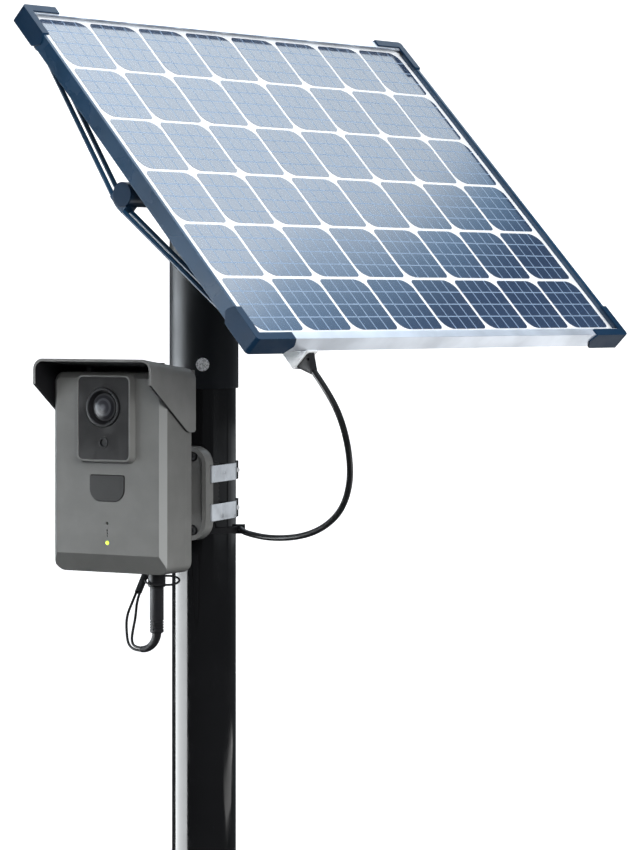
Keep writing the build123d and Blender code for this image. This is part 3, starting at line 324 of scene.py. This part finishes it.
def strap_finish():
    """Thin steel strap: drawn lines, and slow waves that break up what it reflects."""
    made = Finish("strap_steel", (0.82, 0.85, 0.89), 0.15, Metallic=0.7)
    made.edges(0.25 * MM)
    made.paint(made.mottle(45, 0.12))
    made.vary_roughness(70, 0.04)
    made.bump(made.noise(75, 1), 1.1 * MM, 0.6)
    return made.done()


# ---- finishes ----------------------------------------------------------------------------
CASE_COLOUR = (0.150, 0.151, 0.145)
# Painted highlight colour for the case's upright chamfer faces.
CASE_CHAMFER_SHEEN = (0.27, 0.275, 0.27)
# The hood is painted paler than the case plastic, as painted light; its inward and downward faces take a
# near-black painted shade.
HOOD_PAINTED_LIGHT_COLOUR = (0.185, 0.185, 0.180)
HOOD_PAINTED_SHADE = (0.008, 0.008, 0.009)
HOOD_EDGE = (0.24, 0.24, 0.235)
case_plastic = plastic("case_plastic", CASE_COLOUR, 0.5, 1900, 0.012 * MM, wear=0.35, edge=0.6 * MM,
                       chamfer_sheen=CASE_CHAMFER_SHEEN)
bracket_plastic = plastic("bracket_plastic", (0.17, 0.17, 0.165), 0.45, 1500, 0.015 * MM, wear=0.3)
saddle_plastic = plastic("saddle_plastic", (0.02, 0.02, 0.02), 0.5, 1300, 0.02 * MM, wear=0.3)
dark_plastic = plastic("dark_plastic", (0.010, 0.010, 0.011), 0.35, 2500, 0.004 * MM, wear=0.1,
                       Specular_IOR_Level=0.25)
window_plastic = plastic("window_plastic", (0.042, 0.042, 0.043), 0.15, 3000, 0.002 * MM, wear=0.3)
pir_plastic = plastic("pir_plastic", (0.028, 0.028, 0.028), 0.42, 2200, 0.01 * MM, wear=0.2,
                      Specular_IOR_Level=0.25)
rubber = plastic("rubber", (0.010, 0.010, 0.011), 0.55, 1400, 0.02 * MM, wear=0.15)
white_plastic = plastic("white_plastic", (0.93, 0.95, 0.97), 0.4, 1300, 0.01 * MM)
guard_plastic = plastic("guard_plastic", (0.008, 0.028, 0.062), 0.34, 1500, 0.012 * MM, wear=0.2,
                        Specular_IOR_Level=0.12)
pole_coat = coated("pole_coat", (0.005, 0.005, 0.0055), 0.12, 420, 0.006 * MM)
cast_coat = coated("cast_coat", (0.004, 0.005, 0.007), 0.38, 650, 0.03 * MM)
fastener_coat = coated("fastener_coat", (0.012, 0.012, 0.013), 0.35, 900, 0.02 * MM)
navy_paint = coated("navy_paint", (0.010, 0.042, 0.092), 0.30, 520, 0.008 * MM,
                    Specular_IOR_Level=0.3)
strap_steel = strap_finish()
bolt_steel = metal("bolt_steel", (0.92, 0.93, 0.95), 0.28, (60, 60, 60), 8)
silver = coated("silver", (0.74, 0.79, 0.86), 0.36, 300, 0.006 * MM, wear=0.0, Metallic=0.6)
circuit = plastic("circuit", (0.02, 0.12, 0.05), 0.4, 900, 0.02 * MM)
cell_wrap = plastic("cell_wrap", (0.05, 0.20, 0.50), 0.3, 700, 0.01 * MM)
backsheet_plastic = plastic("backsheet_plastic", (0.86, 0.88, 0.90), 0.5, 900, 0.01 * MM)


def hood_finish():
    """Case plastic outside, painted paler than the case as painted light; the faces that look inwards or
    down get painted shade, near black.
    """
    made = Finish("hood_plastic", HOOD_PAINTED_LIGHT_COLOUR, 0.5)
    mask = made.edges(0.6 * MM)
    faces = made.node("ShaderNodeSeparateXYZ")
    made.feed(faces.inputs[0], made.node("ShaderNodeNewGeometry").outputs["Normal"])
    # Painted shade: faces that look inwards or down are painted near black.
    inward = made.maths("MULTIPLY", faces.outputs["X"], made.maths("SIGN", made.dot((1, 0, 0))))
    downward = made.fade(faces.outputs["Z"], -0.5, -0.8)
    under = made.maths("MAXIMUM", made.fade(inward, -0.3, -0.6), downward)
    body = made.blend(under, made.mottle(60, 0.06), HOOD_PAINTED_SHADE)
    made.paint(made.blend(made.maths("MULTIPLY", mask, 0.35), body, HOOD_EDGE))
    made.vary_roughness(90, 0.05)
    made.bump(made.grains(1900), 0.012 * MM)
    return made.done()


def cable_jacket():
    """Soft black jacket of the cable and the leads."""
    made = Finish("cable_jacket", (0.008, 0.008, 0.0085), 0.38)
    made.paint(made.mottle(120, 0.25))
    made.vary_roughness(200, 0.07)
    made.bump(made.noise(1500, 2), 0.02 * MM)
    return made.done()


jacket = cable_jacket()
for cable in cables + leads:
    cable.data.materials.clear()
    cable.data.materials.append(jacket)


# ---- solar cells -------------------------------------------------------------------------
PANEL_HEADING = math.radians(78.7)
PANEL_TILT = math.radians(46.2)
across = Vector((math.cos(PANEL_HEADING), math.sin(PANEL_HEADING), 0))
slope = Vector((-math.sin(PANEL_HEADING) * math.cos(PANEL_TILT),
                math.cos(PANEL_HEADING) * math.cos(PANEL_TILT), math.sin(PANEL_TILT)))
facing = across.cross(slope)
tube_middle = Vector((0.113 * math.sin(PANEL_HEADING), -0.113 * math.cos(PANEL_HEADING), 0.4957))
PANEL_SIZE = (410 * MM, 320 * MM)
CELL_START = (12.3 * MM, 11.5 * MM)
CELL_END = (7.1 * MM, 7.0 * MM)
CELL_GAP = (3.0 * MM, 2.7 * MM)
CELL_COUNT = (8, 6)
BARS_PER_CELL = 4
BAR_EDGES = (0.42 * MM, 0.62 * MM)
BAR_ENDS = (0.42, 0.44)
FINGER_PITCH = 1.5 * MM
CELL_ROUGHNESS = 0.13
BAR_ROUGHNESS = 0.6


def cell_finish():
    """Blue silicon under nitride, with printed silver lines both ways and a slow drift between cells."""
    made = Finish("silicon_cells", (0.010, 0.032, 0.088), CELL_ROUGHNESS, IOR=2.2)
    lines = None
    numbers = []
    for index, direction in enumerate((across, slope)):
        gap = CELL_GAP[index]
        pitch = (PANEL_SIZE[index] - CELL_START[index] - CELL_END[index] + gap) / CELL_COUNT[index]
        size = pitch - gap
        first = tube_middle.dot(direction) - PANEL_SIZE[index] / 2 + CELL_START[index] - gap / 2
        cell = made.maths("DIVIDE", made.dot(direction, first), pitch)
        numbers.append(made.maths("FLOOR", cell))
        inside = made.maths("MULTIPLY", made.maths("SUBTRACT", made.maths("FRACT", cell), 0.5), pitch)
        spacing = size / BARS_PER_CELL
        step = made.maths("FRACT", made.maths("ADD", made.maths("DIVIDE", inside, spacing), 0.5))
        turn = made.maths("ABSOLUTE", made.maths("SUBTRACT", step, 0.5))
        near = made.fade(made.maths("MULTIPLY", turn, spacing), *BAR_EDGES, 1.0, 0.0)
        stop, end = (share * size for share in BAR_ENDS)
        within = made.fade(made.maths("ABSOLUTE", inside), stop, end, 1.0, 0.0)
        bars = made.maths("MULTIPLY", near, within)
        lines = bars if lines is None else made.maths("MAXIMUM", lines, bars)
    mixed = made.node("ShaderNodeCombineXYZ")
    made.feed(mixed.inputs[0], numbers[0])
    made.feed(mixed.inputs[1], numbers[1])
    each = made.node("ShaderNodeTexWhiteNoise", noise_dimensions="3D")
    made.feed(each.inputs["Vector"], mixed.outputs[0])
    body = made.blend(each.outputs["Value"], (0.007, 0.024, 0.066), (0.011, 0.034, 0.086))
    along = made.maths("FRACT", made.maths("DIVIDE", made.dot(slope), FINGER_PITCH))
    fingers = made.fade(along, 0.80, 0.90)
    body = made.blend(made.maths("MULTIPLY", fingers, 0.25), body, (0.03, 0.06, 0.13))
    made.paint(made.blend(lines, body, (0.16, 0.24, 0.36)))
    made.rough(made.fade(lines, 0.0, 1.0, CELL_ROUGHNESS, BAR_ROUGHNESS))
    return made.done()


def pane_finish():
    """Tempered cover glass: a faint haze that lets the cells show through."""
    made = Finish("cover_glass", (0.80, 0.87, 0.95), 0.06, Alpha=0.03)
    made.vary_roughness(15, 0.02)
    return made.done()


def cover_pane():
    """Upper face of the cover glass as a single sheet over the cells."""
    glass = nodes["panel_glass"]
    places = [glass.matrix_world @ vertex.co for vertex in glass.data.vertices]
    spans = []
    for direction in (across, slope, facing):
        levels = [place.dot(direction) for place in places]
        spans.append((min(levels), max(levels)))
    verts = [across * spans[0][i] + slope * spans[1][j] + facing * spans[2][1]
             for i, j in ((0, 0), (1, 0), (1, 1), (0, 1))]
    mesh = bpy.data.meshes.new("cover_pane")
    mesh.from_pydata(verts, [], [(0, 1, 2, 3)])
    sheet = bpy.data.objects.new("cover_pane", mesh)
    scene.collection.objects.link(sheet)
    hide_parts("panel_glass")
    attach(sheet, "panel")
    return sheet


silicon = cell_finish()
cover_glass = pane_finish()


# ---- lens and lamp -----------------------------------------------------------------------
LENS_MIDDLE = (0.0, 0.3472)
# Painted glow at the lens's heart. Of the rings round it, the dark ones are the stop's own tones and the
# paler ones are painted reflection.
LENS_PAINTED_GLOW = (0.11, 0.115, 0.13)
LENS_STOP_AND_SHEEN_RINGS = [
    (1.0, 3.2, (0.025, 0.026, 0.032)),
    (4.6, 5.2, (0.06, 0.062, 0.07)),
    (6.4, 6.8, (0.012, 0.012, 0.015)),
    (8.4, 9.0, (0.04, 0.04, 0.043)),
]
LAMP_SIDES = 40
LAMP_GLOW = (0.62, 0.75, 0.08, 1)


def lens_finish():
    """Front element seen as dark glass over its stop: a painted glow at the heart, and rings that hold
    the stop's own dark tones, with painted reflection in the paler ones.
    """
    made = Finish("lens_painted_sheen", (0.02, 0.022, 0.03), 0.3, Specular_IOR_Level=0.3)
    x = made.dot((1, 0, 0), LENS_MIDDLE[0])
    z = made.dot((0, 0, 1), LENS_MIDDLE[1])
    squares = made.maths("ADD", made.maths("MULTIPLY", x, x), made.maths("MULTIPLY", z, z))
    radius = made.maths("SQRT", squares)
    colour = LENS_PAINTED_GLOW
    for start, end, ring in LENS_STOP_AND_SHEEN_RINGS:
        colour = made.blend(made.fade(radius, start * MM, end * MM), colour, ring)
    made.paint(colour)
    made.vary_roughness(400, 0.01)
    return made.done()


def lamp_dome():
    """Round light pipe with a low dome, where the CAD lamp stands."""
    led = nodes["status_led"]
    corners = [led.matrix_world @ Vector(corner) for corner in led.bound_box]
    low = Vector([min(c[k] for c in corners) for k in range(3)])
    high = Vector([max(c[k] for c in corners) for k in range(3)])
    radius = (high.x - low.x) / 2
    middle = (low + high) / 2
    verts = []
    faces = []
    rings = [(1.0, high.y), (1.0, low.y + 0.25 * MM), (0.9, low.y + 0.1 * MM), (0.6, low.y + 0.03 * MM)]
    for share, depth in rings:
        for step in range(LAMP_SIDES):
            angle = 2 * math.pi * step / LAMP_SIDES
            verts.append((middle.x + radius * share * math.cos(angle), depth,
                          middle.z + radius * share * math.sin(angle)))
    for ring in range(len(rings) - 1):
        for step in range(LAMP_SIDES):
            after = (step + 1) % LAMP_SIDES
            base = ring * LAMP_SIDES
            above = base + LAMP_SIDES
            faces.append((base + step, base + after, above + after, above + step))
    verts.append((middle.x, low.y + 0.01 * MM, middle.z))
    last = (len(rings) - 1) * LAMP_SIDES
    for step in range(LAMP_SIDES):
        faces.append((last + step, last + (step + 1) % LAMP_SIDES, len(verts) - 1))
    faces.append(tuple(reversed(range(LAMP_SIDES))))
    mesh = bpy.data.meshes.new("lamp_dome")
    mesh.from_pydata(verts, [], faces)
    for polygon in mesh.polygons[:-1]:
        polygon.use_smooth = True
    dome = bpy.data.objects.new("lamp_dome", mesh)
    scene.collection.objects.link(dome)
    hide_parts("status_led")
    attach(dome, "camera")
    return dome


def lamp_finish():
    """Light pipe that glows yellow-green."""
    made = Finish("lamp", (0.45, 0.60, 0.05), 0.3, Emission_Strength=1.3)
    made.shader.inputs["Emission Color"].default_value = LAMP_GLOW
    made.paint(made.mottle(900, 0.1))
    return made.done()


dress(case_plastic, "front_shell", "rear_shell", "lens_bezel")
dress(hood_finish(), "sun_hood")
dress(bracket_plastic, "bracket_plate", "pan_knuckle")
dress(saddle_plastic, "pole_saddle")
dress(pir_plastic, "pir_window")
dress(window_plastic, "lens_window")
dress(dark_plastic, "lens_ring", "lens_barrel", "light_sensor", "battery_tray", "port_collar")
dress(lens_finish(), "lens_glass", "ir_cut_filter")
dress(rubber, "head_cap", "case_gasket", "charging_plug", "tether_loop", "cable_split", "cable_tie",
      "cable_boot")
dress(circuit, "image_sensor_board", "main_board")
dress(cell_wrap, "battery_cells")
dress(bolt_steel, "head_bolt", "head_bolt_washer", "head_bolt_nut", "clamp_screws", "pir_sensor")
dress(strap_steel, "clamp_bands")
dress(fastener_coat, "hub_pinch_bolt", "plate_screws", "clamp_housings", "case_screws", "hood_screws",
      "stay_screws", "pan_pin", "tilt_pin")
lamp = lamp_dome()
lamp.data.materials.append(lamp_finish())
dress(pole_coat, "pole")
dress(cast_coat, "pole_head")
dress(navy_paint, "cross_tube", "left_rail", "right_rail", "left_stay", "right_stay")
dress(guard_plastic, "corner_guards", "tube_end_caps")
dress(silver, "top_rail", "bottom_rail")
dress(white_plastic, "junction_box")
dress(backsheet_plastic, "backsheet")
dress(silicon, "solar_cells")
pane = cover_pane()
pane.data.materials.append(cover_glass)
pane.visible_shadow = False


# ---- floor, backdrop and lights ----------------------------------------------------------
def stage_plane(name, middle, facing_to, width, height, material):
    """Flat stage card, its front towards facing_to."""
    mesh = bpy.data.meshes.new(name)
    w, h = width / 2, height / 2
    mesh.from_pydata([(-w, -h, 0), (w, -h, 0), (w, h, 0), (-w, h, 0)], [], [(0, 1, 2, 3)])
    obj = bpy.data.objects.new(name, mesh)
    scene.collection.objects.link(obj)
    obj.location = middle
    obj.rotation_euler = Vector(facing_to).to_track_quat("Z", "Y").to_euler()
    mesh.materials.append(material)
    return obj


FLOOR_SIZE = 7.0
FLOOR_BEHIND = 1.2
FLOOR_GLOW = 0.75
SWEEP_R = 1.2
SWEEP_STEPS = 24
WALL_TOP = 4.5


def floor_finish():
    """Pale card that glows a little, so that it renders close to white."""
    made = Finish("studio_floor", (0.93, 0.935, 0.94), 0.6)
    made.shader.inputs["Emission Color"].default_value = (1, 1, 1, 1)
    made.shader.inputs["Emission Strength"].default_value = FLOOR_GLOW
    made.paint(made.mottle(2, 0.01))
    return made.done()


def studio_sweep():
    """Pale floor that curves up into a backdrop behind the object."""
    rows = [(-FLOOR_SIZE / 2, 0.0), (FLOOR_BEHIND, 0.0)]
    for step in range(1, SWEEP_STEPS + 1):
        angle = math.pi / 2 * step / SWEEP_STEPS
        rows.append((FLOOR_BEHIND + SWEEP_R * math.sin(angle), SWEEP_R * (1 - math.cos(angle))))
    rows.append((FLOOR_BEHIND + SWEEP_R, WALL_TOP))
    verts = []
    faces = []
    for index, (depth, height) in enumerate(rows):
        for side in (-1, 1):
            verts.append(right * side * FLOOR_SIZE / 2 + away * depth + up * height)
        if index:
            k = 2 * index
            faces.append((k - 2, k - 1, k + 1, k))
    mesh = bpy.data.meshes.new("studio_sweep")
    mesh.from_pydata(verts, [], faces)
    for polygon in mesh.polygons:
        polygon.use_smooth = True
    obj = bpy.data.objects.new("studio_sweep", mesh)
    scene.collection.objects.link(obj)
    mesh.materials.append(floor_finish())
    obj.visible_glossy = False
    obj.visible_diffuse = False


studio_sweep()


CARD_DISTANCE = 1.6
CARD_SIZE = 2.6
CARD_LEAN = (-3.65, 2.9)
CARD_CLOUD_SCALE = 3.2
CARD_RUFFLE = 1.1
CARD_LEVEL = 0.92
CARD_DROP = 2.0
CARD_STRENGTH = 2.75
CARD_NIGHT = (0.006, 0.018, 0.04, 1)
CARD_BLUE = (0.20, 0.33, 0.46, 1)
CARD_CLOUD = (0.79, 0.88, 0.95, 1)
PANE_RISE = 0.026


def sky_card():
    """Card that only reflections see: bright cloud at one side that breaks up into deep blue."""
    material = bpy.data.materials.new("sky_card")
    material.use_nodes = True
    material.cycles.emission_sampling = "NONE"
    tree = material.node_tree
    tree.nodes.clear()
    place = tree.nodes.new("ShaderNodeTexCoord").outputs["Object"]
    split = tree.nodes.new("ShaderNodeSeparateXYZ")
    tree.links.new(place, split.inputs[0])
    cloud = tree.nodes.new("ShaderNodeTexNoise")
    cloud.inputs["Scale"].default_value = CARD_CLOUD_SCALE
    cloud.inputs["Detail"].default_value = 5
    tree.links.new(place, cloud.inputs["Vector"])

    def maths(operation, a, b):
        made = tree.nodes.new("ShaderNodeMath")
        made.operation = operation
        for socket, value in zip(made.inputs, (a, b)):
            if isinstance(value, bpy.types.NodeSocket):
                tree.links.new(value, socket)
            else:
                socket.default_value = value
        return made.outputs[0]

    lean = maths("ADD", maths("MULTIPLY", split.outputs["X"], CARD_LEAN[0]),
                 maths("MULTIPLY", split.outputs["Y"], CARD_LEAN[1]))
    ruffle = maths("MULTIPLY", maths("SUBTRACT", cloud.outputs["Fac"], 0.5), CARD_RUFFLE)
    level = maths("ADD", maths("ADD", lean, ruffle), CARD_LEVEL)
    ramp = tree.nodes.new("ShaderNodeValToRGB")
    tree.links.new(level, ramp.inputs["Fac"])
    ramp.color_ramp.elements[0].position = 0.0
    ramp.color_ramp.elements[0].color = CARD_NIGHT
    ramp.color_ramp.elements[1].position = 0.72
    ramp.color_ramp.elements[1].color = CARD_CLOUD
    middle = ramp.color_ramp.elements.new(0.38)
    middle.color = CARD_BLUE
    glow = tree.nodes.new("ShaderNodeEmission")
    drop = maths("ADD", maths("MULTIPLY", split.outputs["Y"], CARD_DROP), CARD_STRENGTH)
    tree.links.new(drop, glow.inputs["Strength"])
    tree.links.new(ramp.outputs["Color"], glow.inputs["Color"])
    out = tree.nodes.new("ShaderNodeOutputMaterial")
    tree.links.new(glow.outputs[0], out.inputs["Surface"])
    pane_middle = tube_middle + facing * PANE_RISE
    look = (pane_middle - camera.location).normalized()
    mirror = look - 2 * look.dot(facing) * facing
    middle_point = pane_middle + mirror * CARD_DISTANCE
    return stage_plane("sky_card", middle_point, -mirror, CARD_SIZE, CARD_SIZE, material)


LIGHT_TARGET = Vector((0, 0, 0.35))
LIGHT_DISTANCE = 2.6


def soft_light(name, azimuth, elevation, distance, size, power):
    """Area light at a bearing from the camera's view line, positive to the right."""
    a = VIEW_AZIMUTH + math.radians(azimuth)
    e = math.radians(elevation)
    direction = Vector((math.sin(a) * math.cos(e), -math.cos(a) * math.cos(e), math.sin(e)))
    data = bpy.data.lights.new(name, "AREA")
    data.shape = "RECTANGLE"
    data.size = size
    data.size_y = size
    data.energy = power
    obj = bpy.data.objects.new(name, data)
    scene.collection.objects.link(obj)
    obj.location = LIGHT_TARGET + direction * distance
    obj.rotation_euler = direction.to_track_quat("Z", "Y").to_euler()
    obj.visible_glossy = False


def glow_material(name, strength, colour=(1, 1, 1)):
    """Plain emission, left out of light sampling because only reflections meet it."""
    material = bpy.data.materials.new(name)
    material.use_nodes = True
    material.cycles.emission_sampling = "NONE"
    tree = material.node_tree
    tree.nodes.clear()
    glow = tree.nodes.new("ShaderNodeEmission")
    glow.inputs["Color"].default_value = (*colour, 1)
    glow.inputs["Strength"].default_value = strength
    out = tree.nodes.new("ShaderNodeOutputMaterial")
    tree.links.new(glow.outputs[0], out.inputs["Surface"])
    return material


def reflections_only(card):
    """Hides a card from everything but mirror-like rays."""
    card.visible_camera = False
    card.visible_diffuse = False
    card.visible_shadow = False
    card.visible_transmission = False


def glow_card(name, bearings, heights, distance, strength, colour=(1, 1, 1)):
    """Upright reflection card between two bearings from the view line and two heights."""
    a = VIEW_AZIMUTH + math.radians(sum(bearings) / 2)
    direction = Vector((math.sin(a), -math.cos(a), 0))
    width = 2 * distance * math.tan(math.radians(bearings[1] - bearings[0]) / 2)
    middle = direction * distance + up * sum(heights) / 2
    card = stage_plane(name, middle, -direction, width, heights[1] - heights[0],
                       glow_material(name, strength, colour))
    reflections_only(card)


reflections_only(sky_card())
glow_card("pole_card", (-121, -61), (-0.5, 0.06), 2.0, 11.0, (0.95, 0.98, 1.0))
glow_card("sleeve_card", (-118, -74), (0.16, 0.44), 2.0, 13.0, (0.85, 0.93, 1.0))
glow_card("band_card_left", (36, 92), (0.12, 0.26), 1.5, 0.4, (0.88, 0.94, 1.0))
glow_card("band_card_right", (100, 150), (0.12, 0.26), 1.5, 0.55, (0.90, 0.95, 1.0))
GROUND_CARD_PLACE = Vector((0.40, 0.45, -0.02))
ground_card = stage_plane("ground_card", GROUND_CARD_PLACE, up, 0.26, 0.62,
                          glow_material("ground_card", 1.7))
reflections_only(ground_card)
soft_light("key_light", 17, 24, LIGHT_DISTANCE, 1.3, 58)
soft_light("side_light", 48, 4, LIGHT_DISTANCE, 1.0, 30)
soft_light("fill_light", -45, 25, 3.0, 1.6, 9)


WORLD_LOW = (0.10, 0.11, 0.12, 1)
WORLD_HIGH = (0.50, 0.53, 0.57, 1)
WORLD_STRENGTH = 0.7


def studio_world():
    """Soft surroundings, dim at the horizon and paler overhead."""
    world = bpy.data.worlds.new("studio")
    scene.world = world
    world.use_nodes = True
    tree = world.node_tree
    background = tree.nodes["Background"]
    place = tree.nodes.new("ShaderNodeTexCoord").outputs["Generated"]
    split = tree.nodes.new("ShaderNodeSeparateXYZ")
    tree.links.new(place, split.inputs[0])
    ramp = tree.nodes.new("ShaderNodeValToRGB")
    tree.links.new(split.outputs["Z"], ramp.inputs["Fac"])
    ramp.color_ramp.elements[0].position = 0.0
    ramp.color_ramp.elements[0].color = WORLD_LOW
    ramp.color_ramp.elements[1].position = 0.6
    ramp.color_ramp.elements[1].color = WORLD_HIGH
    tree.links.new(ramp.outputs["Color"], background.inputs["Color"])
    background.inputs["Strength"].default_value = WORLD_STRENGTH


studio_world()
scene.view_settings.view_transform = "Standard"
